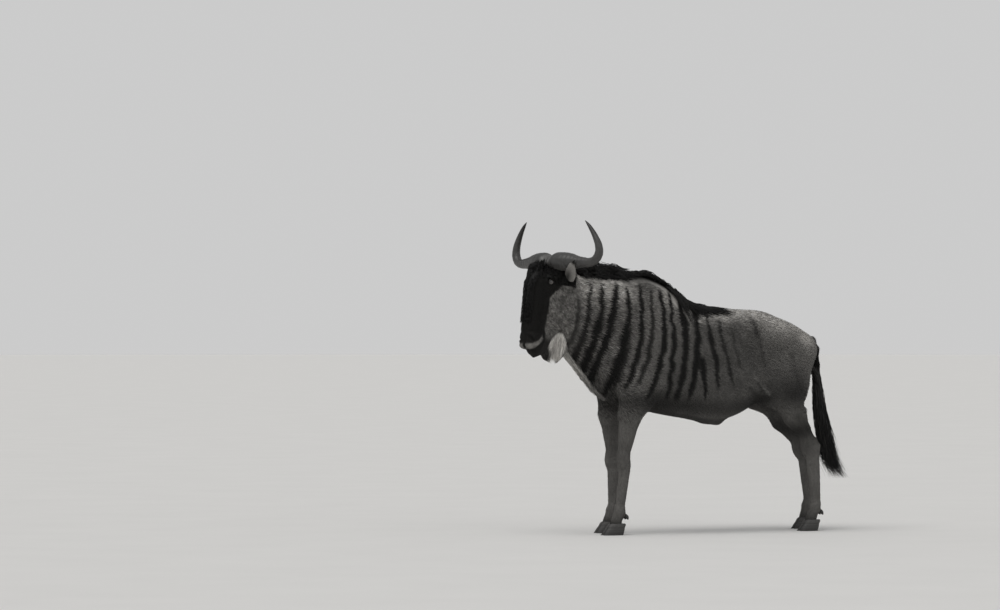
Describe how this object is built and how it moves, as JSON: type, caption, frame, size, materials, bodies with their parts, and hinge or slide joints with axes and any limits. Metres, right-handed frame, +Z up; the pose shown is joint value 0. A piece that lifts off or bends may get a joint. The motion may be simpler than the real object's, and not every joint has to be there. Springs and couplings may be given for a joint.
{
  "type": "wildebeest",
  "caption": "Life-size standing bull wildebeest with swept hook horns, black face and mane, pale beard and long tail tuft, as a still museum-style model.",
  "frame": {"origin": "on the floor, under the middle of the whole figure's box", "axes": "+Z up, the animal faces -Y, its left side is +X"},
  "size_m": [0.6412, 1.9232, 1.5969],
  "materials": {
    "coat": "short grey coat, brindled",
    "face": "short black hair",
    "mane": "long black hair",
    "beard": "long pale hair",
    "horn": "satin keratin, rough at the bosses",
    "hoof": "satin black keratin",
    "eye": "wet gloss"
  },
  "bodies": {
    "root": {"head": "face", "neck": "coat", "trunk": "coat", "tail": "coat", "foreleg_left_upper": "coat", "foreleg_left_lower": "coat", "foreleg_right_upper": "coat", "foreleg_right_lower": "coat", "hindleg_left_upper": "coat", "hindleg_left_lower": "coat", "hindleg_right_upper": "coat", "hindleg_right_lower": "coat", "ear_left": "coat", "ear_right": "coat", "mane_neck": "mane", "mane_withers": "mane", "forelock": "mane", "tail_tuft": "mane", "beard": "beard", "horn_left": "horn", "horn_right": "horn", "hoof_fore_left": "hoof", "hoof_fore_right": "hoof", "hoof_hind_left": "hoof", "hoof_hind_right": "hoof", "eye_left": "eye", "eye_right": "eye"}
  },
  "joints": []
}
